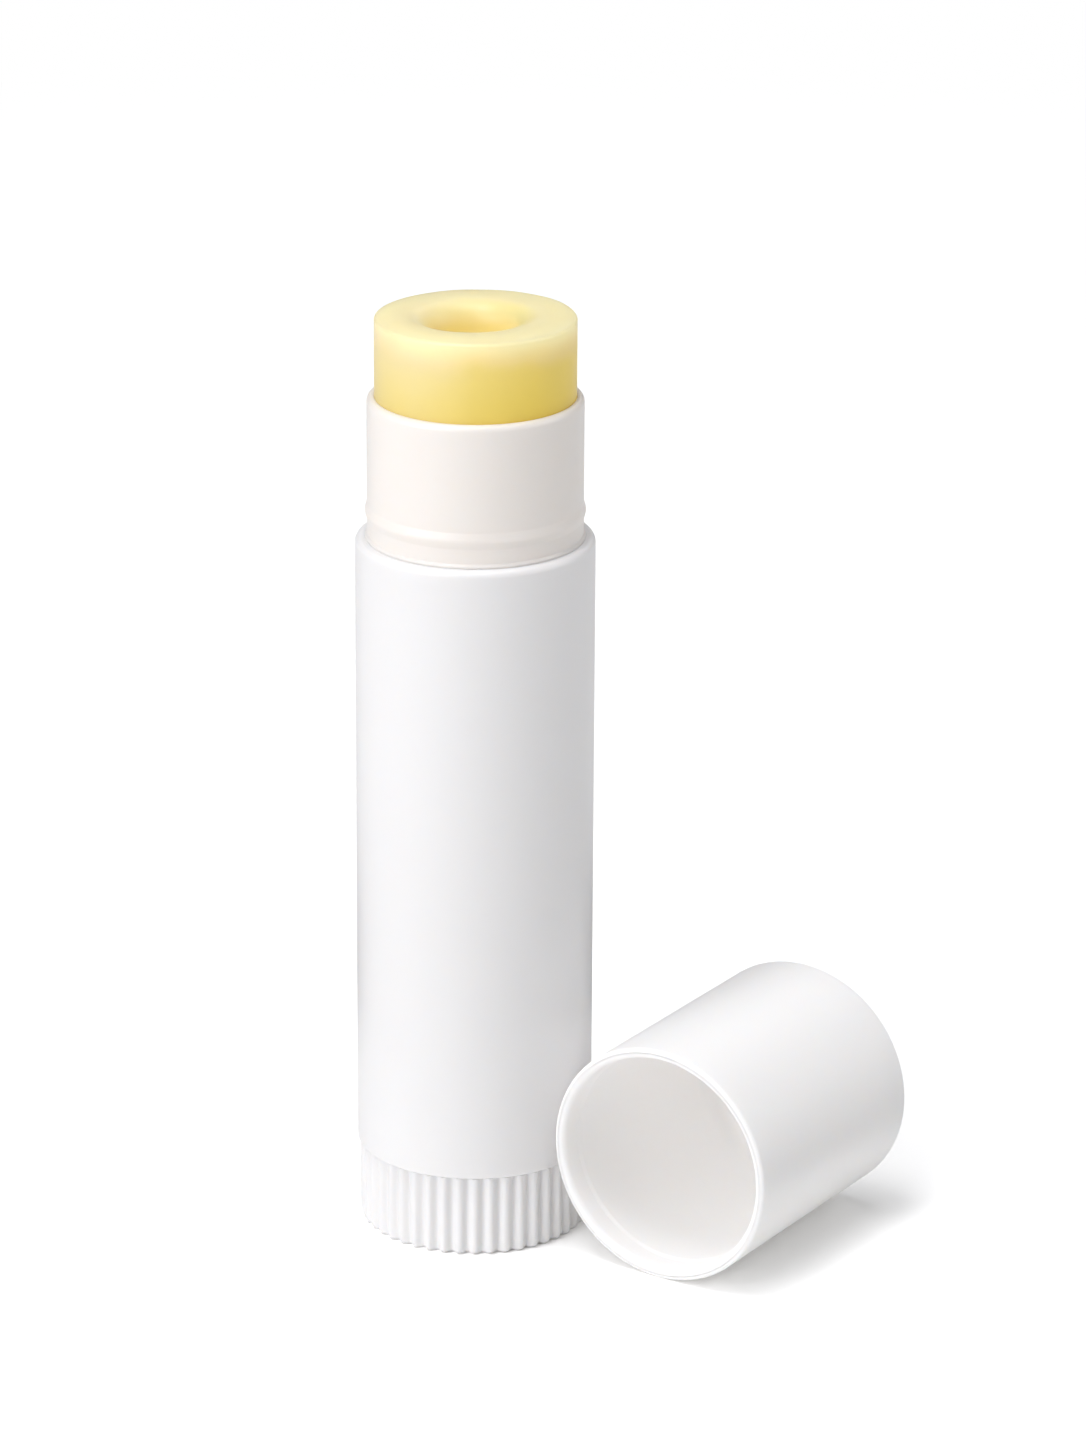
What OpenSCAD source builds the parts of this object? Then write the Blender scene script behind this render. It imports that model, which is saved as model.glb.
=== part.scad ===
// Twist-up lip balm stick, standing on its knob, with the cap taken off and laid down beside it.
// Lengths are in millimetres. The stick's axis is Z, and the knob's underside is at z = 0.
// The cap lies along Y with its mouth towards -Y.

/* [Barrel] */
// Outside diameter of the barrel
barrel_d = 16; // [15:0.1:20]
// Height of the barrel, from its lower edge to the shoulder
barrel_h = 43.2; // [38:0.1:60]
// Wall of the barrel round the sleeve
barrel_wall = 0.75; // [0.6:0.05:0.9]
// How far the ledge that carries the sleeve stands in from the barrel's bore
ledge_w = 0.25; // [0.15:0.05:0.4]
// Rounding of the shoulder's outer edge
shoulder_round = 0.35; // [0.1:0.05:0.5]
// Rounding of the barrel's lower edge
barrel_edge_round = 0.15; // [0.05:0.05:0.3]

/* [Sleeve and neck] */
// Height of the neck above the shoulder
neck_h = 9.7; // [9:0.1:14]
// Wall of the sleeve, which shows above the shoulder as the neck
sleeve_wall = 0.5; // [0.4:0.05:0.7]
// Thickness of the sleeve's floor, which is the screw's bearing
floor_t = 1.2; // [0.8:0.1:2]
// Rounding of the rim's outer edge
rim_round = 0.32; // [0.1:0.02:0.34]
// Height of the centre of the bead above the shoulder
bead_up = 1.85; // [1.5:0.05:3]
// Height of the bead that grips the cap
bead_h = 1.1; // [0.6:0.1:1.6]
// How far the bead stands out from the neck
bead_proud = 0.14; // [0.08:0.02:0.3]
// Height of the band at the neck's foot, where it meets the shoulder
band_h = 0.3; // [0.15:0.05:0.4]
// How far the band stands out from the neck
band_proud = 0.13; // [0.1:0.01:0.2]
// How far the splines inside the sleeve stand in from its bore
spline_h = 0.35; // [0.2:0.05:0.5]
// Width of a spline
spline_w = 1; // [0.6:0.1:1.6]
// Depth of the splines' upper ends below the rim
spline_down = 8.65; // [7.5:0.05:12]

/* [Twist knob] */
// Height of the ribbed part of the knob
knob_h = 5.6; // [4:0.1:9]
// How far the knob's ribs lie inside the barrel's outer face
knob_inset = 0.18; // [0:0.02:0.5]
// Number of ribs round the knob
rib_count = 45; // [24:1:60]
// Depth of the grooves between the ribs
rib_depth = 0.3; // [0.15:0.05:0.5]
// Chamfer round the knob's lower edge
knob_chamfer = 0.35; // [0.1:0.05:0.6]
// Thickness of the knob's floor under its hollow
knob_floor = 1.4; // [0.9:0.1:2]
// Height of the spigot that turns inside the barrel's lower end
spigot_h = 3; // [2:0.1:5]
// Wall of the spigot
spigot_wall = 1; // [0.7:0.1:1.4]
// Diameter of the hub that holds the screw's foot
hub_d = 6.8; // [5.6:0.1:8]
// Inner diameter of the shallow ring sunk into the underside
ring_in_d = 4; // [2:0.1:6]
// Outer diameter of the shallow ring sunk into the underside
ring_out_d = 12.4; // [8:0.1:13]
// Depth of the shallow ring
ring_t = 0.25; // [0.1:0.05:0.4]

/* [Lead screw] */
// Diameter of the screw's core
core_d = 3.4; // [2.8:0.1:4]
// Height of the thread above the core
thread_h = 0.8; // [0.5:0.05:1]
// Rise of the thread in one turn
lead = 3; // [2.4:0.1:4]
// Axial width of the thread where it meets the core
thread_foot_w = 1.2; // [0.9:0.1:1.4]
// Axial width of the thread's crest
thread_crest_w = 0.6; // [0.4:0.1:0.8]
// Depth of the screw's tip below the rim
tip_down = 5.65; // [4.5:0.05:9]
// Diameter of the journal that turns in the sleeve's floor
journal_d = 4.4; // [4.3:0.1:5.2]
// Diameter of the collar that rests on the sleeve's floor
collar_d = 7.6; // [6.4:0.1:9]
// Thickness of the collar
collar_t = 1; // [0.6:0.1:1.6]
// Side of the square foot held in the knob's hub
key_w = 3; // [2.4:0.1:3]

/* [Elevator] */
// How far the elevator is wound up from its lowest place
lift = 6.6; // [0:0.1:20]
// Thickness of the elevator's plate
plate_t = 1.2; // [0.8:0.1:1.8]
// Height of the elevator's cup, from the plate's underside
cup_h = 3.5; // [2.5:0.1:4.4]
// Wall of the cup
cup_wall = 0.65; // [0.6:0.05:0.9]
// Height of the threaded boss, from the plate's underside
nut_h = 5; // [4.6:0.1:7]
// Outside diameter of the threaded boss
nut_d = 7.8; // [7.2:0.1:9]

/* [Balm] */
// Height of the balm's edge above the rim
balm_up = 5.4; // [3:0.1:9]
// How far the top rises from its edge to the hollow's lip
balm_crown = 0.12; // [0:0.02:0.4]
// Rounding of the balm's top edge
balm_round = 0.45; // [0.2:0.05:0.8]
// Radius of the hollow where its wall is steep
hollow_r = 2.7; // [1.8:0.1:3.2]
// Rounding of the hollow's lip
hollow_lip = 1.4; // [0.8:0.1:1.6]
// Depth of the hollow below its lip
hollow_depth = 3; // [2:0.1:3.2]
// Wax left between the screw's cavity and the hollow
hollow_web = 1; // [0.6:0.1:1.6]

/* [Cap] */
// How far the cap's wall stands out past the barrel's
cap_over = 0.25; // [0.15:0.05:2]
// Length of the cap
cap_l = 18.8; // [16.5:0.1:28]
// Thickness of the cap's closed end
cap_end_t = 0.9; // [0.6:0.1:1.6]
// Rounding of the closed end's outer edge
cap_round = 0.4; // [0.2:0.05:1]
// Wall of the cap at its mouth
cap_lip_w = 0.58; // [0.45:0.01:0.65]
// Depth of the wide part of the mouth
cap_step_in = 1.78; // [1.2:0.02:2.4]
// How far the mouth lies behind the stick's axis, towards -Y
cap_mouth_y = 2.55; // [-6:0.05:12]

/* [Clearances] */
// Radial gap between the barrel and the sleeve inside it
sleeve_gap = 0.05; // [0.02:0.01:0.1]
// Gap between the knob and the barrel's lower edge
seam_gap = 0.15; // [0.1:0.01:0.3]
// Radial gap round the spigot and round the elevator
running_gap = 0.2; // [0.12:0.01:0.3]
// End play of the screw and the knob on the sleeve's floor
end_play = 0.2; // [0.1:0.01:0.3]
// Radial gap round the journal
journal_gap = 0.08; // [0.03:0.01:0.1]
// Gap round the square foot
key_gap = 0.05; // [0.02:0.01:0.08]
// Gap between the screw's thread and the elevator's thread
thread_gap = 0.18; // [0.12:0.01:0.22]
// Radial gap between the balm and the sleeve
balm_gap = 0.08; // [0.05:0.01:0.15]
// Gap between the balm and what it was cast round
cast_gap = 0.1; // [0.05:0.01:0.2]
// Radial gap between the balm and the screw's crest
cavity_gap = 0.3; // [0.15:0.05:0.5]
// Radial gap between the cap's bore and the neck's bead
cap_gap = 0.04; // [0.01:0.01:0.1]
// Gap between the barrel and the cap beside it
apart = 0.2; // [0.15:0.05:8]
// Room left below the elevator when it is wound right down
stop_gap = 0.25; // [0.15:0.05:0.5]

/* [Hidden] */
$fn = 96;
// Straight lengths in one arc of an outline
arc_steps = 6;
// Points along one rib's wave
rib_points = 6;
// Steps of the thread in one turn
thread_steps = 16;
full_turn = 360;
right_angle = 90;
// Overrun of a cut past the face it opens
over = 0.3;
// How deep the thread and the splines are sunk into what carries them
sunk = 0.2;

barrel_r = barrel_d / 2;
bore_r = barrel_r - barrel_wall;
skirt_r = bore_r - ledge_w;
sleeve_r = bore_r - sleeve_gap;
sleeve_in_r = sleeve_r - sleeve_wall;
bead_r = sleeve_r + bead_proud;
spline_r = sleeve_in_r - spline_h;

barrel_z = knob_h + seam_gap;
shoulder_z = barrel_z + barrel_h;
rim_z = shoulder_z + neck_h;
spigot_z = knob_h + spigot_h;
sleeve_z = spigot_z + end_play;
floor_z = sleeve_z + floor_t;
spline_z = rim_z - spline_down;

knob_r = barrel_r - knob_inset;
spigot_r = skirt_r - running_gap;
hollow_knob_r = spigot_r - spigot_wall;

core_r = core_d / 2;
crest_r = core_r + thread_h;
journal_r = journal_d / 2;
collar_z = floor_z + end_play;
collar_top_z = collar_z + collar_t;
tip_z = rim_z - tip_down;
thread_z = collar_top_z + thread_foot_w / 2 + thread_gap;
thread_turns = (tip_z - thread_z - thread_foot_w) / lead;

cup_r = sleeve_in_r - running_gap;
cup_in_r = cup_r - cup_wall;
stop_z = collar_top_z + stop_gap;
plate_z = stop_z + lift;
nut_r = nut_d / 2;
notch_w = spline_w + 2 * running_gap;
notch_r = spline_r - running_gap;

balm_r = sleeve_in_r - balm_gap;
balm_edge_z = rim_z + balm_up;
balm_top_z = balm_edge_z + balm_crown;
cavity_r = crest_r + cavity_gap;
cavity_z = min(tip_z + lift + cavity_gap, balm_top_z - hollow_depth - hollow_web);

cap_r = barrel_r + cap_over;
cap_bore_r = bead_r + cap_gap;
cap_mouth_r = cap_r - cap_lip_w;
cap_x = barrel_r + apart + cap_r;

shell_white = "whitesmoke";
neck_white = "linen";
part_white = "gainsboro";
wax_yellow = "khaki";

// Points of an arc round (cx, cy)
function arc(cx, cy, r, from, to) = [
  for (i = [0:arc_steps])
    let (a = from + (to - from) * i / arc_steps)
      [cx + r * cos(a), cy + r * sin(a)]
];

// Points of an elliptical quarter from (cx + rx, cy) down to (cx, cy - ry)
function bowl(cx, cy, rx, ry) = [
  for (i = [0:arc_steps])
    let (a = right_angle * i / arc_steps)
      [cx + rx * cos(a), cy - ry * sin(a)]
];

// Points of a low bulge of height h that stands p out of a wall of radius r
function bulge(r, z, h, p) =
  let (half = h / 2, round = (half * half + p * p) / (2 * p), a = asin(half / round))
    arc(r + p - round, z, round, -a, a);

// Radius of the ribbed outline, where one rib takes one wave
function rib_radius(wave) = knob_r - rib_depth * (1 - cos(full_turn * wave)) / 2;

// The left-handed thread as one closed tube of four sides, from turn t0 to turn t1.
// The tube is grown by g on all sides, and its inner side stays inside the core.
module thread(t0, t1, g) {
  first = round(t0 * thread_steps);
  last = round(t1 * thread_steps);
  rings = last - first;
  in_r = core_r - sunk;
  foot = thread_foot_w / 2 + g;
  crest = thread_crest_w / 2 + g;
  profile = [[in_r, foot], [crest_r + g, crest], [crest_r + g, -crest], [in_r, -foot]];
  sides = len(profile);
  points = [
    for (i = [first:last], p = profile)
      let (t = i / thread_steps, a = -full_turn * t)
        [p[0] * cos(a), p[0] * sin(a), thread_z + lead * t + p[1]]
  ];
  skin = [
    for (i = [0:rings - 1], j = [0:sides - 1], half = [0, 1])
      let (a = i * sides + j, b = i * sides + (j + 1) % sides)
        half == 0 ? [a, b, a + sides] : [b, b + sides, a + sides]
  ];
  near = [[3, 2, 1], [3, 1, 0]];
  far = [for (f = [[0, 1, 2], [0, 2, 3]]) [for (k = f) rings * sides + k]];
  polyhedron(points = points, faces = concat(skin, near, far));
}

// One bar for each of the two splines, from radius r0 to radius r1
module splines(r0, r1, w, z0, z1) {
  for (side = [0, 1])
    rotate([0, 0, side * full_turn / 2])
      translate([r0, -w / 2, z0])
        cube([r1 - r0, w, z1 - z0]);
}

module twist_knob() {
  waves = rib_count * rib_points;
  outline = [
    for (i = [0:waves - 1])
      rib_radius(i / rib_points) * [cos(full_turn * i / waves), sin(full_turn * i / waves)]
  ];
  socket_w = key_w + 2 * key_gap;
  color(shell_white) difference() {
    union() {
      intersection() {
        linear_extrude(knob_h) polygon(outline);
        union() {
          cylinder(h = knob_chamfer + over, r1 = knob_r - knob_chamfer, r2 = knob_r + over);
          translate([0, 0, knob_chamfer + over]) cylinder(h = knob_h, r = knob_r + over);
        }
      }
      cylinder(h = spigot_z, r = spigot_r);
    }
    rotate_extrude() polygon([
      [hub_d / 2, knob_floor],
      [hollow_knob_r, knob_floor],
      [hollow_knob_r, spigot_z + over],
      [hub_d / 2, spigot_z + over]
    ]);
    rotate_extrude() polygon([
      [ring_in_d / 2, -over],
      [ring_out_d / 2, -over],
      [ring_out_d / 2, ring_t],
      [ring_in_d / 2, ring_t]
    ]);
    translate([-socket_w / 2, -socket_w / 2, knob_floor])
      cube([socket_w, socket_w, spigot_z]);
  }
}

module lead_screw() {
  color(part_white) {
    translate([-key_w / 2, -key_w / 2, knob_floor])
      cube([key_w, key_w, spigot_z + sunk - knob_floor]);
    rotate_extrude() polygon([
      [0, spigot_z],
      [journal_r, spigot_z],
      [journal_r, collar_z],
      [collar_d / 2, collar_z],
      [collar_d / 2, collar_top_z],
      [core_r, collar_top_z],
      [core_r, tip_z - core_r / 2],
      [core_r / 2, tip_z],
      [0, tip_z]
    ]);
    thread(0, thread_turns, 0);
  }
}

module inner_sleeve() {
  band_r = sleeve_r + band_proud;
  color(neck_white) {
    rotate_extrude() polygon(concat(
      [
        [journal_r + journal_gap, sleeve_z],
        [sleeve_r, sleeve_z],
        [sleeve_r, shoulder_z],
        [band_r, shoulder_z],
        [band_r, shoulder_z + band_h / 2],
        [sleeve_r, shoulder_z + band_h]
      ],
      bulge(sleeve_r, shoulder_z + bead_up, bead_h, bead_proud),
      arc(sleeve_r - rim_round, rim_z - rim_round, rim_round, 0, right_angle),
      [
        [sleeve_in_r, rim_z],
        [sleeve_in_r, floor_z],
        [journal_r + journal_gap, floor_z]
      ]
    ));
    splines(spline_r, sleeve_in_r + sunk, spline_w, floor_z - sunk, spline_z);
  }
}

module outer_barrel() {
  color(shell_white) rotate_extrude() polygon(concat(
    [[skirt_r, barrel_z]],
    arc(barrel_r - barrel_edge_round, barrel_z + barrel_edge_round, barrel_edge_round, -right_angle, 0),
    arc(barrel_r - shoulder_round, shoulder_z - shoulder_round, shoulder_round, 0, right_angle),
    [
      [bore_r, shoulder_z],
      [bore_r, sleeve_z],
      [skirt_r, sleeve_z]
    ]
  ));
}

module elevator_cup() {
  nut_top_z = plate_z + nut_h;
  cup_top_z = plate_z + cup_h;
  plate_top_z = plate_z + plate_t;
  tap_from = (plate_z - thread_z - thread_foot_w) / lead;
  tap_to = (nut_top_z - thread_z + thread_foot_w) / lead;
  color(part_white) difference() {
    rotate_extrude() polygon([
      [0, plate_z],
      [cup_r, plate_z],
      [cup_r, cup_top_z],
      [cup_in_r, cup_top_z],
      [cup_in_r, plate_top_z],
      [nut_r, plate_top_z],
      [nut_r, nut_top_z],
      [0, nut_top_z]
    ]);
    translate([0, 0, plate_z - over])
      cylinder(h = nut_h + 2 * over, r = core_r + thread_gap);
    thread(tap_from, tap_to, thread_gap);
    splines(notch_r, cup_r + over, notch_w, plate_z - over, cup_top_z + over);
  }
}

module balm_stick() {
  plate_top_z = plate_z + plate_t;
  cup_top_z = plate_z + cup_h + cast_gap;
  nut_top_z = plate_z + nut_h + cast_gap;
  groove_z = spline_z + lift + cast_gap;
  core_gap_r = nut_r + cast_gap;
  cast_r = cup_in_r - cast_gap;
  color(wax_yellow) difference() {
    rotate_extrude() polygon(concat(
      [
        [core_gap_r, plate_top_z],
        [cast_r, plate_top_z],
        [cast_r, cup_top_z],
        [balm_r, cup_top_z]
      ],
      arc(balm_r - balm_round, balm_edge_z - balm_round, balm_round, 0, right_angle),
      arc(hollow_r + hollow_lip, balm_top_z - hollow_lip, hollow_lip, right_angle, 2 * right_angle),
      bowl(0, balm_top_z - hollow_lip, hollow_r, hollow_depth - hollow_lip),
      [
        [0, cavity_z],
        [cavity_r, cavity_z],
        [cavity_r, nut_top_z],
        [core_gap_r, nut_top_z]
      ]
    ));
    splines(notch_r, balm_r + over, notch_w, plate_top_z - over, groove_z);
  }
}

module cap() {
  lip_r = cap_lip_w / 2;
  inner_end = cap_l - cap_end_t;
  color(shell_white)
    translate([cap_x, -cap_mouth_y, cap_r])
      rotate([-right_angle, 0, 0])
        rotate_extrude() polygon(concat(
          arc(cap_r - lip_r, lip_r, lip_r, -2 * right_angle, 0),
          arc(cap_r - cap_round, cap_l - cap_round, cap_round, 0, right_angle),
          [
            [0, cap_l],
            [0, inner_end]
          ],
          arc(cap_bore_r - cap_round, inner_end - cap_round, cap_round, right_angle, 0),
          [
            [cap_bore_r, cap_step_in],
            [cap_mouth_r, cap_step_in]
          ]
        ));
}

twist_knob();
lead_screw();
inner_sleeve();
outer_barrel();
elevator_cup();
balm_stick();
cap();
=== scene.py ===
# %% [markdown]
# A twist-up lip balm stick.
# The stick stands on its ribbed knob with the balm wound a little way out, and the cap lies beside
# it with its mouth to the front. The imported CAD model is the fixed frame. The pieces that show are
# made again here with finer roundings and ribs, and they get the finish of moulded plastic and wax.

# %% Load the frame
import math

import bmesh
import bpy
from mathutils import Matrix, Vector, noise


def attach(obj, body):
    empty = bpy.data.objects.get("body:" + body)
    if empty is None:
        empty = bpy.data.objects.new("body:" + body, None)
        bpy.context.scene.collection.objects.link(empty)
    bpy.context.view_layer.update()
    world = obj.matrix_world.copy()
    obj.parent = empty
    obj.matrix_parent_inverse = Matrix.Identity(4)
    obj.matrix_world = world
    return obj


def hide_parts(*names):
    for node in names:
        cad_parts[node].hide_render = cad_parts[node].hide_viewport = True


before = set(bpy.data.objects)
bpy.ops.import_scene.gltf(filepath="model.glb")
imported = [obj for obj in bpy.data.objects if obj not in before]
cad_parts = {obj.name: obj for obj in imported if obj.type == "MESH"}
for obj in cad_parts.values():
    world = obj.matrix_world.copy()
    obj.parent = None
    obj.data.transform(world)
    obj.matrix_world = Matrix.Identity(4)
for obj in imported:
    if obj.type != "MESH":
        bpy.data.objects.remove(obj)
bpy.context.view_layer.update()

# %% [markdown]
# Sizes. They are the ones of the CAD source, in millimetres, apart from a few hundredths here and
# there that the photograph asked for. Each outline is multiplied by MM when it becomes a mesh. The
# stick's axis is Z, and its knob stands on z = 0. A name that ends in R is a radius, and one that
# ends in Z is a height above the table.

# %% Sizes of the tube
MM = 0.001
BARREL_R, BORE_R, SKIRT_R = 8.0, 7.25, 7.0
SLEEVE_R, SLEEVE_IN_R = 7.2, 6.7
BEAD_R, BAND_R = 7.36, 7.33
KNOB_R, SPIGOT_R, KNOB_HOLLOW_R = 7.82, 6.8, 5.8
KNOB_Z, BARREL_Z, SPIGOT_Z, SLEEVE_Z, FLOOR_Z = 5.67, 5.75, 8.6, 8.8, 10.0
SHOULDER_Z, RIM_Z = 48.95, 58.65

# %% [markdown]
# The balm stands a little way out of the neck. The cap's lengths are measured along its own axis,
# from its mouth, and it lies on the table with its mouth a little in front of the stick's axis.

# %% Sizes of the balm and the cap
BALM_R, BALM_EDGE_Z, BALM_TOP_Z = 6.69, 64.0, 64.1
CAP_R, CAP_MOUTH_R, CAP_BORE_R = 8.25, 7.51, 7.38
CAP_LENGTH, CAP_INNER = 18.8, 17.9
CAP_X, CAP_MOUTH_Y = 16.45, -2.55

# %% [markdown]
# Outlines. A moulded part has no truly sharp edge, and it is the small roundings that catch the
# light. An outline is a list of corners, each one a radius, a height and a rounding, and this
# helper turns every corner into a short arc. One more point each side of the arc keeps the flat
# walls next to it flat when the mesh is shaded smooth.

# %% Rounded outlines
ARC_STEP = math.radians(12)
FEWEST_STEPS = 3
SUPPORT_SHARE = 0.25


def arc_points(corner, before, after, rounding):
    """The arc that takes a corner's place, with a support point at each end."""
    towards, away = (before - corner).normalized(), (after - corner).normalized()
    opening = towards.angle(away)
    reach = rounding / math.tan(opening / 2)
    middle = corner + (towards + away).normalized() * (rounding / math.sin(opening / 2))
    start, end = corner + towards * reach - middle, corner + away * reach - middle
    sweep = start.angle_signed(end)
    steps = max(FEWEST_STEPS, math.ceil(abs(sweep) / ARC_STEP))
    arc = []
    for step in range(steps + 1):
        turned = start.copy()
        turned.rotate(Matrix.Rotation(-sweep * step / steps, 2))
        arc.append(middle + turned)
    support = rounding * SUPPORT_SHARE
    first, last = arc[0] + towards * support, arc[-1] + away * support
    room = [(other - corner).length / 2 > reach + support for other in (before, after)]
    return [first] * room[0] + arc + [last] * room[1]


def rounded(corners, closed):
    """Points of an outline from its corners. An outline that isn't closed ends on the axis."""
    places = [Vector(corner[:2]) for corner in corners]
    points = []
    for n, (place, corner) in enumerate(zip(places, corners)):
        at_end = not closed and n in (0, len(corners) - 1)
        if at_end or corner[2] == 0:
            points.append(place)
        else:
            points += arc_points(place, places[n - 1], places[(n + 1) % len(places)], corner[2])
    return points


# %% [markdown]
# Turning. The tube, the sleeve, the knob, the balm and the cap are all round, so each one is its
# outline carried once round an axis, as on a lathe. The rings are joined by quads, and a point on
# the axis closes the piece with a fan of triangles.

# %% Turn an outline into a piece
AROUND = 256
SHARP_ANGLE = math.radians(34)
ON_AXIS = 1e-6
DOUBLED = 1e-8


def finish_mesh(piece):
    """Shades a piece smooth, except across edges that are sharp."""
    piece.data.shade_smooth()
    piece.data.set_sharp_from_angle(angle=SHARP_ANGLE)
    piece.data.update()
    return piece


def face_outwards(piece):
    """Merges doubled points and turns every face of a closed piece outwards."""
    work = bmesh.new()
    work.from_mesh(piece.data)
    bmesh.ops.remove_doubles(work, verts=work.verts, dist=DOUBLED)
    bmesh.ops.recalc_face_normals(work, faces=work.faces)
    work.to_mesh(piece.data)
    work.free()
    return finish_mesh(piece)


def turn(name, outline, closed, around=AROUND):
    """A closed solid of revolution round Z, from an outline in millimetres."""
    vertices, rings = [], []
    for point in outline:
        on_axis = point.x < ON_AXIS
        rings.append((len(vertices), on_axis))
        for n in range(1 if on_axis else around):
            angle = math.tau * n / around
            place = Vector((point.x * math.cos(angle), point.x * math.sin(angle), point.y))
            vertices.append(place * MM)
    faces = []
    pairs = list(zip(rings, rings[1:] + rings[:1])) if closed else list(zip(rings, rings[1:]))
    for (low, low_axis), (high, high_axis) in pairs:
        for n in range(around):
            after = (n + 1) % around
            if low_axis:
                faces.append((low, high + after, high + n))
            elif high_axis:
                faces.append((low + n, low + after, high))
            else:
                faces.append((low + n, low + after, high + after, high + n))
    mesh = bpy.data.meshes.new(name)
    mesh.from_pydata(vertices, [], faces)
    piece = bpy.data.objects.new(name, mesh)
    bpy.context.scene.collection.objects.link(piece)
    return face_outwards(piece)


# %% [markdown]
# Cuts and joins. What doesn't go round is a block that a Boolean cuts out or joins on. A joined
# block is sunk a little into what carries it, and a cut reaches a little over the face that it
# opens, so no two faces fall together. The result is kept as a plain mesh, so no piece has a live
# modifier at the end.

# %% Blocks and Booleans
SUNK = 0.2
OVER = 0.3


def settle(piece):
    """Puts a plain mesh in place of a piece's live modifiers."""
    bpy.context.view_layer.update()
    evaluated = piece.evaluated_get(bpy.context.evaluated_depsgraph_get())
    made = bpy.data.meshes.new_from_object(evaluated)
    piece.modifiers.clear()
    piece.data = made
    made.name = piece.name
    return piece


def block(name, low, high):
    """A box between two corners in millimetres."""
    work = bmesh.new()
    bmesh.ops.create_cube(work, size=1)
    low, high = Vector(low) * MM, Vector(high) * MM
    for vertex in work.verts:
        vertex.co = (low + high) / 2 + vertex.co * (high - low)
    mesh = bpy.data.meshes.new(name)
    work.to_mesh(mesh)
    work.free()
    made = bpy.data.objects.new(name, mesh)
    bpy.context.scene.collection.objects.link(made)
    return made


def combine(piece, tool, operation):
    """Cuts a tool out of a piece, or joins it on, and removes the tool."""
    modifier = piece.modifiers.new("combine", "BOOLEAN")
    modifier.object, modifier.operation, modifier.solver = tool, operation, "EXACT"
    settle(piece)
    bpy.data.objects.remove(tool)
    return finish_mesh(piece)


def combine_two_bars(piece, name, radii, width, heights, operation):
    """Cuts or joins two upright bars, one at +X and one at -X."""
    for side in (-1, 1):
        ends = sorted(side * radius for radius in radii)
        bar = block(name, (ends[0], -width / 2, heights[0]), (ends[1], width / 2, heights[1]))
        combine(piece, bar, operation)


# %% [markdown]
# The barrel is the white tube that the hand holds. Its shoulder has a soft moulded edge, and its
# lower edge a tighter one, where it meets the knob.

# %% The barrel
SHOULDER_ROUND, BARREL_EDGE_ROUND = 0.42, 0.12
barrel = turn("barrel_shell", rounded([
    (SKIRT_R, BARREL_Z, 0),
    (BARREL_R, BARREL_Z, BARREL_EDGE_ROUND),
    (BARREL_R, SHOULDER_Z, SHOULDER_ROUND),
    (BORE_R, SHOULDER_Z, 0.03),
    (BORE_R, SLEEVE_Z, 0),
    (SKIRT_R, SLEEVE_Z, 0),
], closed=True), closed=True)
print("barrel:", len(barrel.data.polygons), "faces")

# %% [markdown]
# The sleeve sits inside the barrel and shows above it as the neck. A bead near its foot grips the
# cap, and a fine band closes the joint to the shoulder. Two splines inside keep the elevator from
# turning. They are bars joined on, sunk a little into the wall and the floor.

# %% The sleeve with its bead and splines
BEAD_Z, BEAD_HEIGHT, BEAD_ROUND, BEAD_FOOT_ROUND = 50.8, 1.1, 0.6, 0.25
BAND_HEIGHT = 0.3
RIM_ROUND = 0.42
SPLINE_R, SPLINE_WIDTH, SPLINE_Z = 6.35, 1.0, 50.0
JOURNAL_HOLE_R = 2.28
sleeve = turn("neck_sleeve", rounded([
    (JOURNAL_HOLE_R, SLEEVE_Z, 0),
    (SLEEVE_R, SLEEVE_Z, 0.1),
    (SLEEVE_R, SHOULDER_Z, 0),
    (BAND_R, SHOULDER_Z, 0.03),
    (BAND_R, SHOULDER_Z + BAND_HEIGHT / 2, 0.08),
    (SLEEVE_R, SHOULDER_Z + BAND_HEIGHT, 0.06),
    (SLEEVE_R, BEAD_Z - BEAD_HEIGHT / 2, BEAD_FOOT_ROUND),
    (BEAD_R, BEAD_Z, BEAD_ROUND),
    (SLEEVE_R, BEAD_Z + BEAD_HEIGHT / 2, BEAD_FOOT_ROUND),
    (SLEEVE_R, RIM_Z, RIM_ROUND),
    (SLEEVE_IN_R, RIM_Z, 0.04),
    (SLEEVE_IN_R, FLOOR_Z, 0.2),
    (JOURNAL_HOLE_R, FLOOR_Z, 0),
], closed=True), closed=True)
combine_two_bars(sleeve, "spline", (SPLINE_R, SLEEVE_IN_R + SUNK), SPLINE_WIDTH,
                 (FLOOR_Z - SUNK, SPLINE_Z), "UNION")
print("sleeve:", len(sleeve.data.polygons), "faces")

# %% [markdown]
# The knob. It is turned as a plain drum, its square socket for the screw's foot is cut, and then
# Geometry Nodes press the ribs into its wall.

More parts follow.
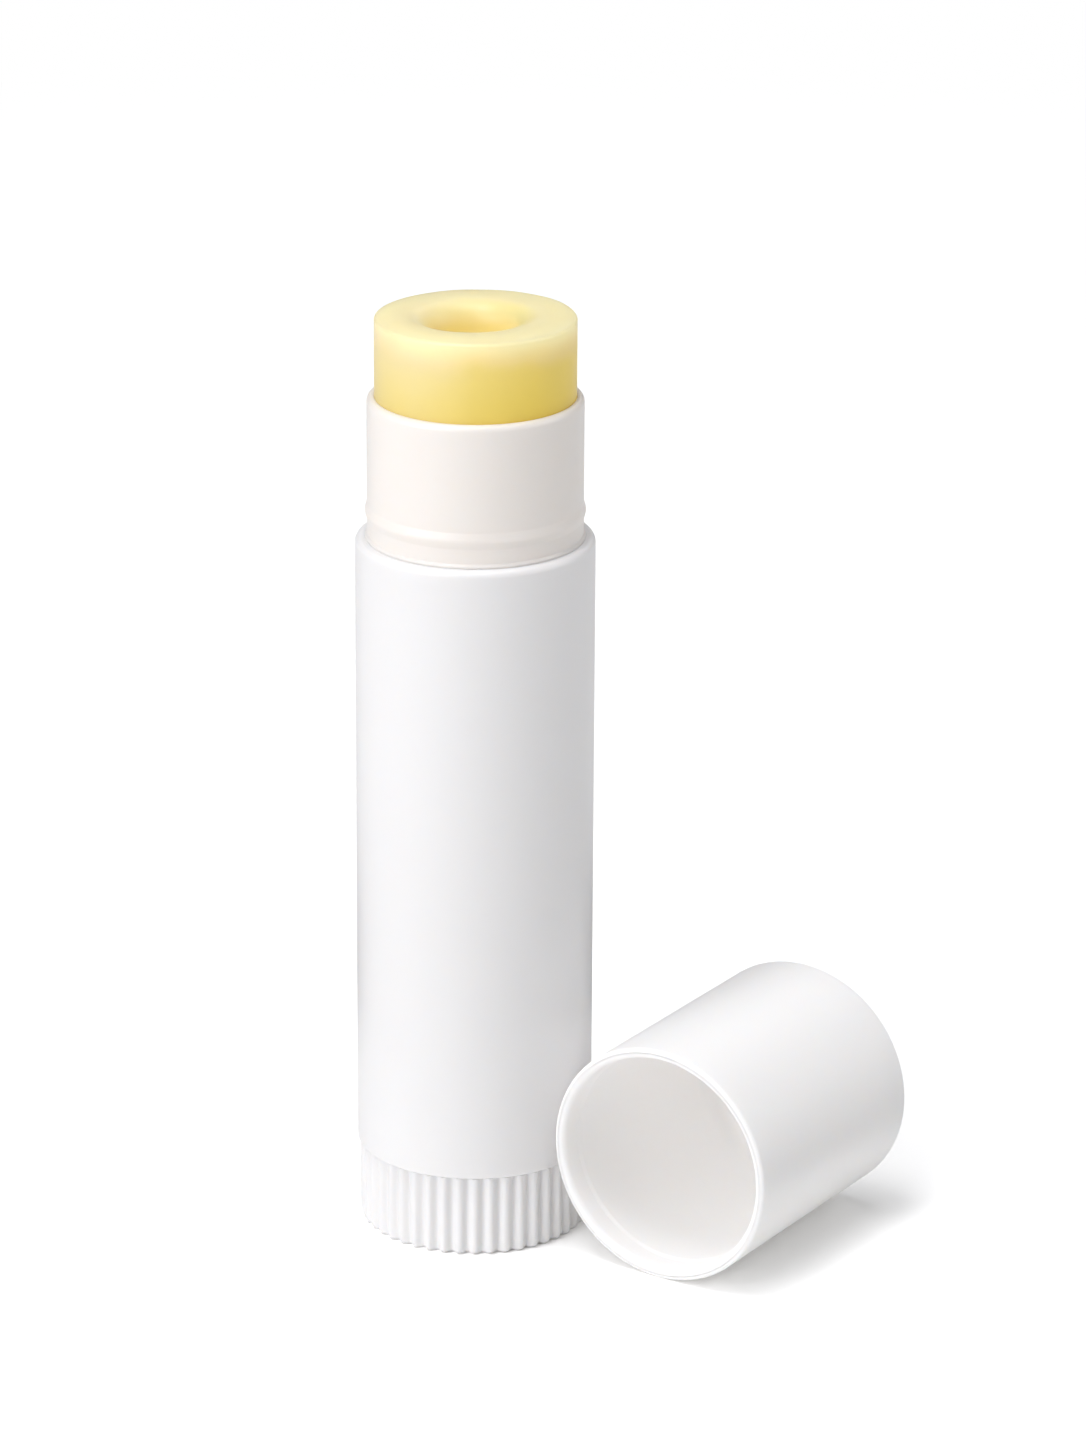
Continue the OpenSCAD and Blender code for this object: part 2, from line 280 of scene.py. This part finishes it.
# %% Turn the knob's drum
RIB_COUNT, RIB_DEPTH = 45, 0.31
COLUMNS_PER_RIB = 16
KNOB_FLOOR, HUB_R, SOCKET_WIDTH, SOCKET_OVER = 1.4, 3.4, 3.1, 1
RING_IN_R, RING_OUT_R, RING_DEPTH = 2.0, 6.2, 0.25
KNOB_FOOT_ROUND = 0.5
knob = turn("ribbed_knob", rounded([
    (0, 0, 0),
    (RING_IN_R, 0, 0.08),
    (RING_IN_R, RING_DEPTH, 0.05),
    (RING_OUT_R, RING_DEPTH, 0.05),
    (RING_OUT_R, 0, 0.08),
    (KNOB_R, 0, KNOB_FOOT_ROUND),
    (KNOB_R, KNOB_Z, 0.05),
    (SPIGOT_R, KNOB_Z, 0),
    (SPIGOT_R, SPIGOT_Z, 0.2),
    (KNOB_HOLLOW_R, SPIGOT_Z, 0.1),
    (KNOB_HOLLOW_R, KNOB_FLOOR, 0.2),
    (HUB_R, KNOB_FLOOR, 0.2),
    (HUB_R, SPIGOT_Z, 0.1),
    (0, SPIGOT_Z, 0),
], closed=False), closed=False, around=RIB_COUNT * COLUMNS_PER_RIB)
half = SOCKET_WIDTH / 2
socket_cutter = block("socket", (-half, -half, KNOB_FLOOR), (half, half, SPIGOT_Z + SOCKET_OVER))
combine(knob, socket_cutter, "DIFFERENCE")

# %% [markdown]
# Helpers for node trees. The first one adds a node of any kind, and the others are short names for
# the four kinds that come again and again: a sum, a change of range, noise and a mix of colours.

# %% Helpers for node trees


def add(tree, kind, inputs=None, **settings):
    """Adds a node with its settings. An input is a value, or the socket that feeds it."""
    made = tree.nodes.new(kind)
    for name, value in settings.items():
        setattr(made, name, value)
    for name, value in (inputs or {}).items():
        if isinstance(value, bpy.types.NodeSocket):
            tree.links.new(value, made.inputs[name])
        else:
            made.inputs[name].default_value = value
    return made


def compute(tree, operation, *values):
    """The result of one Math node."""
    return add(tree, "ShaderNodeMath", dict(enumerate(values)), operation=operation).outputs[0]


def spread(tree, value, low, high, to_low=0, to_high=1, **settings):
    """Carries a value from the range low to high over to another range, and holds it there."""
    inputs = {0: value, 1: low, 2: high, 3: to_low, 4: to_high}
    return add(tree, "ShaderNodeMapRange", inputs, **settings).outputs[0]


def noise_of(tree, place, size, detail):
    """Noise with spots about size millimetres across."""
    inputs = {"Vector": place, "Scale": 1 / (size * MM), "Detail": detail}
    return add(tree, "ShaderNodeTexNoise", inputs).outputs[0]


def mixed(tree, share, first, second, **settings):
    """A colour that goes from the first to the second as share goes from 0 to 1."""
    inputs = {"Factor": share, "A": first, "B": second}
    return add(tree, "ShaderNodeMix", inputs, data_type="RGBA", **settings).outputs["Result"]


# %% [markdown]
# The ribs. A rib is one wave of a cosine round the axis, with the valley a little narrower than
# the crest. The wave moves each point in towards the axis: fully on the wall, less and less over
# the rounded foot, and not at all further in, so the underside stays flat for the knob to stand on.

# %% The rib tree
VALLEY_SHARPNESS = 1.3


def rib_tree():
    """Geometry Nodes that press ribs into the wall of a round drum."""
    tree = bpy.data.node_groups.new("press_ribs", "GeometryNodeTree")
    face = tree.interface
    face.new_socket("Drum", in_out="INPUT", socket_type="NodeSocketGeometry")
    face.new_socket("Rib count", in_out="INPUT", socket_type="NodeSocketInt")
    for name in ("Rib depth", "Wall radius", "Fade width"):
        face.new_socket(name, in_out="INPUT", socket_type="NodeSocketFloat")
    face.new_socket("Finish", in_out="INPUT", socket_type="NodeSocketMaterial")
    face.new_socket("Knob", in_out="OUTPUT", socket_type="NodeSocketGeometry")
    given = tree.nodes.new("NodeGroupInput").outputs
    position = add(tree, "GeometryNodeInputPosition").outputs[0]
    place = add(tree, "ShaderNodeSeparateXYZ", {0: position}).outputs
    angle = compute(tree, "ARCTAN2", place["Y"], place["X"])
    waves = compute(tree, "MULTIPLY", angle, given["Rib count"])
    valley = spread(tree, compute(tree, "COSINE", waves), 1, -1)
    narrow = compute(tree, "POWER", valley, VALLEY_SHARPNESS)
    flat = add(tree, "ShaderNodeCombineXYZ", {0: place["X"], 1: place["Y"]}).outputs[0]
    radius = add(tree, "ShaderNodeVectorMath", {0: flat}, operation="LENGTH").outputs["Value"]
    outwards = add(tree, "ShaderNodeVectorMath", {0: flat}, operation="NORMALIZE").outputs[0]
    fade_from = compute(tree, "SUBTRACT", given["Wall radius"], given["Fade width"])
    reach = spread(tree, radius, fade_from, given["Wall radius"], interpolation_type="SMOOTHSTEP")
    pressed = compute(tree, "MULTIPLY", narrow, reach)
    depth = compute(tree, "MULTIPLY", pressed, given["Rib depth"])
    inwards = compute(tree, "MULTIPLY", depth, -1)
    shift = add(tree, "ShaderNodeVectorMath", {0: outwards, "Scale": inwards}, operation="SCALE")
    moved = add(tree, "GeometryNodeSetPosition",
                {"Geometry": given["Drum"], "Offset": shift.outputs[0]}).outputs[0]
    whole = add(tree, "GeometryNodeRealizeInstances", {0: moved}).outputs[0]
    dressed = add(tree, "GeometryNodeSetMaterial",
                  {"Geometry": whole, "Material": given["Finish"]}).outputs[0]
    add(tree, "NodeGroupOutput", {0: dressed})
    return tree


def run_tree(piece, tree, values):
    """Runs a node tree on a piece with the named inputs, and keeps the plain mesh."""
    modifier = piece.modifiers.new(tree.name, "NODES")
    modifier.node_group = tree
    items = tree.interface.items_tree
    sockets = {item.name: item.identifier for item in items if item.item_type == "SOCKET"}
    for name, value in values.items():
        modifier[sockets[name]] = value
    return finish_mesh(settle(piece))


# %% [markdown]
# Colours are written as sRGB hex values, as in a paint program, and one function turns them to
# the linear numbers that Blender's shaders take.

# %% Colours and empty materials


def linear(code):
    """Linear RGBA from an sRGB hex colour such as "f6f6f4"."""
    shares = [int(code[n:n + 2], 16) / 255 for n in (0, 2, 4)]
    return [s / 12.92 if s <= 0.04045 else ((s + 0.055) / 1.055) ** 2.4 for s in shares] + [1]


def blend(tree, share, stops):
    """A colour that runs through (position, hex colour) stops as share goes from 0 to 1."""
    ramp = add(tree, "ShaderNodeValToRGB", {0: share})
    elements = ramp.color_ramp.elements
    for element, (position, code) in zip(elements, (stops[0], stops[-1])):
        element.position, element.color = position, linear(code)
    for position, code in stops[1:-1]:
        elements.new(position).color = linear(code)
    return ramp.outputs[0]


def empty_material(name):
    """A material without nodes, and its tree."""
    material = bpy.data.materials.new(name)
    material.use_nodes = True
    material.node_tree.nodes.clear()
    return material, material.node_tree


# %% [markdown]
# Polypropylene, injection moulded. It is the plastic of nearly every lip balm tube: a little
# waxy, satin, and slightly see-through, so light goes in and comes out again close by. That is
# what subsurface scattering gives. The mould leaves a fine orange peel on the skin and long faint
# drag lines where the part slid off its core, and both only show in the sheen. The roughness stays
# above 0.274, because the denoiser takes anything below for a mirror, and where a surface crosses
# that value it leaves sharp blotches.

# %% Moulded polypropylene
DRIFT_SIZE = 14
DRAG_SIZE, DRAG_STRETCH = 0.35, 0.04
PEEL_SIZE, PEEL_HEIGHT, PEEL_STRENGTH = 0.5, 0.02, 0.06
SHEEN_DRIFT = 0.01
NOISE_LOW, NOISE_HIGH = 0.3, 0.7
PLASTIC_IOR = 1.49


def moulded_polypropylene(name, light, dark, roughness, glow, depth=0.5):
    """Satin plastic of two close colours. Light goes depth millimetres in, with the weight glow."""
    material, tree = empty_material(name)
    place = add(tree, "ShaderNodeTexCoord").outputs["Object"]
    cloud = noise_of(tree, place, DRIFT_SIZE, 2)
    colour = mixed(tree, cloud, linear(light), linear(dark))
    along = add(tree, "ShaderNodeMapping", {"Vector": place, "Scale": (1, 1, DRAG_STRETCH)})
    drag = noise_of(tree, along.outputs[0], DRAG_SIZE, 2)
    sheen = spread(tree, drag, NOISE_LOW, NOISE_HIGH,
                   roughness - SHEEN_DRIFT, roughness + SHEEN_DRIFT)
    peel = noise_of(tree, place, PEEL_SIZE, 3)
    skin = add(tree, "ShaderNodeBump",
               {"Strength": PEEL_STRENGTH, "Distance": PEEL_HEIGHT * MM, "Height": peel}).outputs[0]
    body = add(tree, "ShaderNodeBsdfPrincipled", {
        "Base Color": colour, "Roughness": sheen, "Normal": skin, "IOR": PLASTIC_IOR,
        "Subsurface Weight": glow, "Subsurface Radius": (1.0, 0.9, 0.8),
        "Subsurface Scale": depth * MM,
    })
    add(tree, "ShaderNodeOutputMaterial", {"Surface": body.outputs[0]})
    return material


# %% [markdown]
# Four plastics. The cap, the barrel and the knob are one white polypropylene. The cap's whiter
# colour is painted light, and the barrel's and knob's greyer colour is painted shade. The neck has
# no pigment and is warmer and glossier, and the screw and the elevator inside are of a duller
# polyethylene.

# %% The plastics
shaded_white_plastic = moulded_polypropylene(
    "white_moulded_polypropylene_painted_shade", "f0efef", "eeeded", 0.34, 0.5)
lit_cap_plastic = moulded_polypropylene(
    "white_moulded_cap_polypropylene_painted_light", "fdfcfb", "fcfbfa", 0.34, 0.6, depth=0.6)
neck_plastic = moulded_polypropylene(
    "natural_moulded_polypropylene", "f6f0eb", "f5ede6", 0.29, 0.6)
inner_plastic = moulded_polypropylene(
    "natural_moulded_polyethylene", "e9e9e4", "e2e2dc", 0.42, 0.3)

# %% [markdown]
# The knob gets its ribs now, because the tree also sets the finish. The ribs have their full depth
# down to a little inside the wall, and they fade out over the width of the rounded foot.

# %% Press the ribs
FOOT_MARGIN, FADE_WIDTH = 0.12, 0.75
run_tree(knob, rib_tree(), {
    "Rib count": RIB_COUNT,
    "Rib depth": RIB_DEPTH * MM,
    "Wall radius": (KNOB_R - FOOT_MARGIN) * MM,
    "Fade width": FADE_WIDTH * MM,
    "Finish": shaded_white_plastic,
})
print("knob:", len(knob.data.polygons), "faces")

# %% [markdown]
# The cap. It is turned standing on its mouth and then laid down: a quarter turn about X takes its
# axis from Z to Y. The lip is a soft roll, rounder inside than outside. Inside the mouth a short
# wide stretch leads the neck in, and a step shows where the bore begins.

# %% The cap
LIP_OUT, LIP_IN = 0.26, 0.46
CAP_STEP, STEP_HEIGHT, STEP_ROUND = 1.62, 0.3, 0.15
MOUTH_DRAFT = 0.03
CAP_END_ROUND, CAP_INNER_ROUND = 0.2, 1.3
cap = turn("round_cap", rounded([
    (0, CAP_LENGTH, 0),
    (CAP_R, CAP_LENGTH, CAP_END_ROUND),
    (CAP_R, 0, LIP_OUT),
    (CAP_MOUTH_R, 0, LIP_IN),
    (CAP_MOUTH_R - MOUTH_DRAFT, CAP_STEP, STEP_ROUND),
    (CAP_BORE_R, CAP_STEP + STEP_HEIGHT, STEP_ROUND),
    (CAP_BORE_R, CAP_INNER, CAP_INNER_ROUND),
    (0, CAP_INNER, 0),
], closed=False), closed=False)
lay_down = Matrix.Rotation(-math.pi / 2, 4, "X")
put_beside = Matrix.Translation(Vector((CAP_X, CAP_MOUTH_Y, CAP_R)) * MM)
cap.data.transform(put_beside @ lay_down)
print("cap:", len(cap.data.polygons), "faces")

# %% [markdown]
# The balm. Molten wax is poured round the screw and shrinks as it sets, so a hollow sinks in the
# middle of its top, never quite in the centre and never quite level. Below, it is cast round the
# elevator's cup and boss, with two grooves for the splines. The hollow is a quarter circle over
# its lip and a quarter ellipse down to its bottom. The unevenness of the top fades out downwards,
# so the balm is still straight where it runs in the sleeve.

# %% The balm
HOLLOW_R, HOLLOW_LIP, HOLLOW_DEPTH = 2.7, 1.75, 3.0
PLATE_Z, CUP_TOP_Z, NUT_TOP_Z = 19.25, 21.65, 23.15
CAST_R, NUT_GAP_R, CAVITY_R, CAVITY_Z = 5.75, 4.0, 2.8, 59.9
GROOVE_R, GROOVE_WIDTH, GROOVE_Z = 6.15, 1.4, 56.7
TOP_RING_R = 5.4
BOWL_STEPS = 12
CAST_SEED, STIFF_Z = 7, 60.6
TILT, HOLLOW_SHIFT = (0.006, -0.002), (-0.48, -0.32)
UNEVEN, UNEVEN_SIZE = 0.03, 2.6


def hollow_points():
    """The sunk middle of the top, from its lip down to the axis."""
    lip_r, lip_z = HOLLOW_R + HOLLOW_LIP, BALM_TOP_Z - HOLLOW_LIP
    points = []
    for step in range(BOWL_STEPS + 1):
        angle = math.pi / 2 * (1 + step / BOWL_STEPS)
        points.append(Vector((lip_r + HOLLOW_LIP * math.cos(angle),
                              lip_z + HOLLOW_LIP * math.sin(angle))))
    for step in range(1, BOWL_STEPS + 1):
        angle = math.pi / 2 * step / BOWL_STEPS
        drop = (HOLLOW_DEPTH - HOLLOW_LIP) * math.sin(angle)
        points.append(Vector((HOLLOW_R * math.cos(angle), lip_z - drop)))
    points[-1].x = 0
    return points


def unsettle_top(piece):
    """Tilts the cast top, sinks its hollow off centre and makes it a little uneven."""
    noise.seed_set(CAST_SEED)
    for vertex in piece.data.vertices:
        place = vertex.co / MM
        share = min(max((place.z - STIFF_Z) / (BALM_EDGE_Z - STIFF_Z), 0), 1)
        radius = place.xy.length
        inner = 1 - min(radius / BALM_R, 1)
        lift = place.x * TILT[0] + place.y * TILT[1] + noise.noise(place / UNEVEN_SIZE) * UNEVEN
        shift = Vector((HOLLOW_SHIFT[0] * inner, HOLLOW_SHIFT[1] * inner, lift))
        vertex.co = (place + shift * share) * MM
    finish_mesh(piece)


lower = rounded([
    (0, CAVITY_Z, 0),
    (CAVITY_R, CAVITY_Z, 0.2),
    (CAVITY_R, NUT_TOP_Z, 0),
    (NUT_GAP_R, NUT_TOP_Z, 0),
    (NUT_GAP_R, PLATE_Z, 0),
    (CAST_R, PLATE_Z, 0),
    (CAST_R, CUP_TOP_Z, 0),
    (BALM_R, CUP_TOP_Z, 0),
    (BALM_R, BALM_EDGE_Z, 0.2),
    (TOP_RING_R, BALM_TOP_Z, 0),
], closed=False)
balm = turn("balm_wax", lower + hollow_points(), closed=False)
combine_two_bars(balm, "groove", (GROOVE_R, BALM_R + OVER), GROOVE_WIDTH,
                 (PLATE_Z - OVER, GROOVE_Z), "DIFFERENCE")
unsettle_top(balm)
print("balm:", len(balm.data.polygons), "faces")

# %% [markdown]
# Beeswax balm, cast. It is a soft mixture of wax and oil, so light travels a few millimetres inside
# before it comes out, and what comes out has lost its blue. That light is painted into the colour.
# It is pale where the wax is thin and lit from both sides, along the top edge, and a deep butter
# yellow low down, where light has had a long way through it. Painted light and shade also make the
# lit left side paler and cooler and the shaded right side a deeper yellow, and painted shade darkens
# the middle of the hollow. Light goes deeper near the top.

# %% Cast beeswax balm
WAX_LOW_Z, WAX_HIGH_Z = 58.6, 65.0
WAX_PAINTED_LIGHT_BY_HEIGHT = [
    (0.0, "ffe184"), (0.3, "ffe595"), (0.55, "ffe8a5"), (0.8, "fbe7b6"), (1.0, "f7ecb8"),
]
# Painted light and shade by side: paler and cooler on the lit left, a deeper yellow on the shaded
# right, fading in below the top edge.
SHADED_SIDE, SIDE_REACH = (0.84, 0.55, 0), 5
WAX_PAINTED_BY_SIDE = [(0.1, "f0f3ef"), (0.5, "f5f2bf"), (0.9, "fff9ac")]
SIDE_PAINT_FROM_Z, SIDE_PAINT_FULL_Z = 65.3, 62.6
# Painted shade darkens the middle of the hollow, in place of the side tint.
HOLLOW_SHADE_FROM_R, HOLLOW_SHADE_FULL_R = 4.4, 2.8
WAX_PAINTED_SHADE_IN_HOLLOW = "f0f2db"
CLOUD_SIZE, CLOUD_REACH = 5, 1.6
GRAIN_SIZE, GRAIN_HEIGHT, GRAIN_STRENGTH = 0.9, 0.05, 0.14
WAX_SHEEN_LOW, WAX_SHEEN_HIGH = 0.29, 0.36
GLOW_LOW_Z, GLOW_FULL_Z, GLOW_LEAST = 61, 64, 0.3
WAX_DEPTH, WAX_IOR = 4, 1.44


def wax_colour(tree, place, wander):
    """The wax's colour, with painted light by height and by side, and painted shade in the middle of
    the hollow.
    """
    share = spread(tree, wander, WAX_LOW_Z * MM, WAX_HIGH_Z * MM)
    lit_by_height = blend(tree, share, WAX_PAINTED_LIGHT_BY_HEIGHT)
    sideways = add(tree, "ShaderNodeVectorMath", {0: place, 1: SHADED_SIDE}, operation="DOT_PRODUCT")
    shaded_share = spread(tree, sideways.outputs["Value"], -SIDE_REACH * MM, SIDE_REACH * MM)
    flat = add(tree, "ShaderNodeVectorMath", {0: place, 1: (1, 1, 0)}, operation="MULTIPLY")
    radius = add(tree, "ShaderNodeVectorMath", {0: flat.outputs[0]}, operation="LENGTH")
    hollow_shade = spread(tree, radius.outputs["Value"], HOLLOW_SHADE_FROM_R * MM, HOLLOW_SHADE_FULL_R * MM,
                    interpolation_type="SMOOTHSTEP")
    below = spread(tree, wander, SIDE_PAINT_FROM_Z * MM, SIDE_PAINT_FULL_Z * MM,
                   interpolation_type="SMOOTHSTEP")
    painted_by_place = mixed(tree, hollow_shade, blend(tree, shaded_share, WAX_PAINTED_BY_SIDE), linear(WAX_PAINTED_SHADE_IN_HOLLOW))
    painted_share = compute(tree, "MAXIMUM", below, hollow_shade)
    painted_tint = mixed(tree, painted_share, linear("ffffff"), painted_by_place)
    return mixed(tree, 1.0, lit_by_height, painted_tint, blend_type="MULTIPLY")


def cast_beeswax(name):
    """Butter-yellow wax, with painted light that pales it towards its top edge."""
    material, tree = empty_material(name)
    place = add(tree, "ShaderNodeTexCoord").outputs["Object"]
    height = add(tree, "ShaderNodeSeparateXYZ", {0: place}).outputs["Z"]
    cloud = noise_of(tree, place, CLOUD_SIZE, 2)
    wander = compute(tree, "MULTIPLY_ADD", cloud, CLOUD_REACH * MM, height)
    grain = noise_of(tree, place, GRAIN_SIZE, 3)
    sheen = spread(tree, grain, NOISE_LOW, NOISE_HIGH, WAX_SHEEN_LOW, WAX_SHEEN_HIGH)
    skin = add(tree, "ShaderNodeBump", {
        "Strength": GRAIN_STRENGTH, "Distance": GRAIN_HEIGHT * MM, "Height": grain,
    }).outputs[0]
    glow = spread(tree, wander, GLOW_LOW_Z * MM, GLOW_FULL_Z * MM, GLOW_LEAST, 1)
    body = add(tree, "ShaderNodeBsdfPrincipled", {
        "Base Color": wax_colour(tree, place, wander), "Roughness": sheen, "Normal": skin,
        "IOR": WAX_IOR, "Subsurface Weight": glow, "Subsurface Radius": (1.0, 0.8, 0.4),
        "Subsurface Scale": WAX_DEPTH * MM,
    }, subsurface_method="BURLEY")
    add(tree, "ShaderNodeOutputMaterial", {"Surface": body.outputs[0]})
    return material


balm_wax = cast_beeswax("cast_beeswax_balm")

# %% [markdown]
# Finishes, bodies and material slots. Every new piece gets its finish, takes the place of its CAD
# node and rides on that node's body. The lead screw and the elevator are hidden inside, so their CAD
# nodes stay, with a better material.

# %% Dress the pieces
PIECES = [
    (barrel, "outer_barrel", "barrel", "white_polypropylene", shaded_white_plastic),
    (sleeve, "inner_sleeve", "barrel", "natural_polypropylene", neck_plastic),
    (knob, "twist_knob", "twist_base", "white_polypropylene", shaded_white_plastic),
    (balm, "balm_stick", "elevator", "beeswax_balm", balm_wax),
    (cap, "cap", "cap", "white_polypropylene", lit_cap_plastic),
]
for piece, node, body, slot, finish in PIECES:
    piece.data.materials.clear()
    piece.data.materials.append(finish)
    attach(piece, body)
    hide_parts(node)
for node in ("lead_screw", "elevator_cup"):
    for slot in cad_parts[node].material_slots:
        slot.material = inner_plastic

# %% [markdown]
# The floor is a sheet of white paper. The lamps light it, so it bounces light back onto the object
# and takes its shadow. In a studio such paper is lit until it turns plain white in the picture.
# Here the camera gets that from a second layer, which answers the same lamps, so the shadow stays
# and the object gets no more light from it. Far out the paper goes over to plain white, as a sweep
# that curves up behind the object does. Reflections see other tones: near the object the paper is
# white, and a grey ring round it stands in for the black cards that a studio puts beside white
# objects. It draws the thin darker outline of the cap.

# %% The floor
FLOOR_HALF = 3.0
FLOOR_GAIN = 0.30
SWEEP_FROM, SWEEP_TO = 130, 320
PAPER = "f4f4f3"
RING_REACH = 100
TABLE_REFLECTED = [
    (0.0, "f4f4f3"), (0.33, "f4f4f3"), (0.42, "606060"),
    (0.58, "606060"), (0.85, "dcdcdc"), (1.0, "dcdcdc"),
]


def seen_directly(tree, path):
    """1 for the camera's own rays, also through something clear, and 0 for all others."""
    return compute(tree, "MAXIMUM", path["Is Camera Ray"], path["Is Transmission Ray"])


def paper_sweep(name):
    """White paper, with a whiter layer for the camera and other tones for reflections."""
    material, tree = empty_material(name)
    path = add(tree, "ShaderNodeLightPath").outputs
    spot = add(tree, "ShaderNodeTexCoord").outputs["Object"]
    away = add(tree, "ShaderNodeVectorMath", {0: spot}, operation="LENGTH").outputs["Value"]
    ring = blend(tree, spread(tree, away, 0, RING_REACH * MM), TABLE_REFLECTED)
    tone = mixed(tree, path["Is Glossy Ray"], linear(PAPER), ring)
    matt = add(tree, "ShaderNodeBsdfDiffuse", {"Color": tone}).outputs[0]
    second = add(tree, "ShaderNodeBsdfDiffuse", {"Color": [FLOOR_GAIN] * 3 + [1]}).outputs[0]
    whiter = add(tree, "ShaderNodeAddShader", {0: matt, 1: second}).outputs[0]
    sweep = add(tree, "ShaderNodeEmission", {"Color": linear("ffffff"), "Strength": 1}).outputs[0]
    beyond = spread(tree, away, SWEEP_FROM * MM, SWEEP_TO * MM)
    shown = add(tree, "ShaderNodeMixShader", {0: beyond, 1: whiter, 2: sweep}).outputs[0]
    surface = add(tree, "ShaderNodeMixShader", {0: seen_directly(tree, path), 1: matt, 2: shown})
    add(tree, "ShaderNodeOutputMaterial", {"Surface": surface.outputs[0]})
    return material


corners = [(x * FLOOR_HALF, y * FLOOR_HALF, 0) for x, y in ((-1, -1), (1, -1), (1, 1), (-1, 1))]
floor = bpy.data.objects.new("studio_floor", bpy.data.meshes.new("studio_floor"))
floor.data.from_pydata(corners, [], [(0, 1, 2, 3)])
bpy.context.scene.collection.objects.link(floor)
floor.data.materials.append(paper_sweep("white_paper_sweep"))

# %% [markdown]
# The world is a white studio. The camera sees it as plain white. As light it is only a weak fill,
# and reflections see dim walls, which keep the sides of the round pieces from shining.

# %% The world
ROOM_FILL, ROOM_WALLS = 0.015, 0.12
world = bpy.data.worlds.new("white_studio")
bpy.context.scene.world = world
world.use_nodes = True
tree = world.node_tree
tree.nodes.clear()
path = add(tree, "ShaderNodeLightPath").outputs
fill, walls, white = [
    add(tree, "ShaderNodeBackground", {"Color": linear("ffffff"), "Strength": strength}).outputs[0]
    for strength in (ROOM_FILL, ROOM_WALLS, 1)
]
indoors = add(tree, "ShaderNodeMixShader", {0: path["Is Glossy Ray"], 1: fill, 2: walls}).outputs[0]
backdrop = add(tree, "ShaderNodeMixShader", {0: seen_directly(tree, path), 1: indoors, 2: white})
add(tree, "ShaderNodeOutputWorld", {"Surface": backdrop.outputs[0]})

# %% [markdown]
# The camera stands where the photograph's camera stood. A pinhole camera was fitted to the rings
# and edges of the photograph, and it gave these angles, this distance and this lens. The small
# roll is the photograph's own.

# %% The camera
AZIMUTH, ELEVATION, ROLL = math.radians(33.07), math.radians(19.917), math.radians(0.31)
DISTANCE = 421.897
TARGET = Vector((3.819, 2.486, 35.603))
SENSOR, LENS = 36.0, 156.29
CLIP_NEAR, CLIP_FAR = 0.01, 20
back = Vector((
    math.sin(AZIMUTH) * math.cos(ELEVATION),
    -math.cos(AZIMUTH) * math.cos(ELEVATION),
    math.sin(ELEVATION),
))
right = Vector((math.cos(AZIMUTH), math.sin(AZIMUTH), 0))
up = back.cross(right)
camera = bpy.data.objects.new("camera", bpy.data.cameras.new("camera"))
bpy.context.scene.collection.objects.link(camera)
camera.data.sensor_width, camera.data.lens = SENSOR, LENS
camera.data.clip_start, camera.data.clip_end = CLIP_NEAR, CLIP_FAR
turned = Matrix((
    right * math.cos(ROLL) + up * math.sin(ROLL),
    up * math.cos(ROLL) - right * math.sin(ROLL),
    back,
)).transposed().to_4x4()
camera.matrix_world = Matrix.Translation((TARGET + back * DISTANCE) * MM) @ turned
bpy.context.scene.camera = camera
print("camera, mm:", [round(1000 * x, 1) for x in camera.matrix_world.translation])

# %% [markdown]
# The lamps are seven soft boxes. The two key lamps stand to the camera's left, one low and one
# high, and shade the round pieces towards the right. The two at the top light the balm's top and
# the shoulder, the one on the right opens the shade, and the two behind draw the far edges. Their
# brightness is set so that a white wall that faces them renders about as it is written. Inside the
# white cap light bounces many times before it comes out, so Cycles is allowed more diffuse bounces
# than its usual four. Each row is a name, an azimuth and an elevation in degrees, a width and a
# height in metres, and watts.

# %% The lamps
bpy.context.scene.view_settings.view_transform = "Standard"
bpy.context.scene.cycles.diffuse_bounces = 12
LAMP_COLOUR = linear("fdfdff")[:3]
LAMP_AWAY = 1.2
LAMPS = [
    ("key_softbox", -48, 9, 1.20, 0.50, 6.1),
    ("high_key_softbox", -42, 42, 0.80, 0.80, 5.05),
    ("top_left_softbox", -60, 74, 0.45, 0.45, 4.2),
    ("top_softbox", 0, 88, 0.90, 0.90, 5.8),
    ("right_softbox", 90, 28, 0.90, 0.90, 4.05),
    ("back_right_softbox", 150, 30, 0.75, 0.75, 1.2),
    ("back_softbox", 180, 22, 0.75, 0.75, 0.4),
]


def soft_box(name, azimuth, elevation, width, height, watts):
    """An area lamp. Azimuth 0 is the camera's own side, and positive is to its right."""
    lamp = bpy.data.lights.new(name, "AREA")
    lamp.shape, lamp.size, lamp.size_y = "RECTANGLE", width, height
    lamp.energy, lamp.color = watts, LAMP_COLOUR
    stand = bpy.data.objects.new(name, lamp)
    bpy.context.scene.collection.objects.link(stand)
    level_back = Vector((back.x, back.y, 0)).normalized()
    turned, raised = math.radians(azimuth), math.radians(elevation)
    level = right * math.sin(turned) + level_back * math.cos(turned)
    direction = level * math.cos(raised) + Vector((0, 0, math.sin(raised)))
    stand.location = TARGET * MM + direction * LAMP_AWAY
    stand.rotation_euler = direction.to_track_quat("Z", "Y").to_euler()


for lamp in LAMPS:
    soft_box(*lamp)
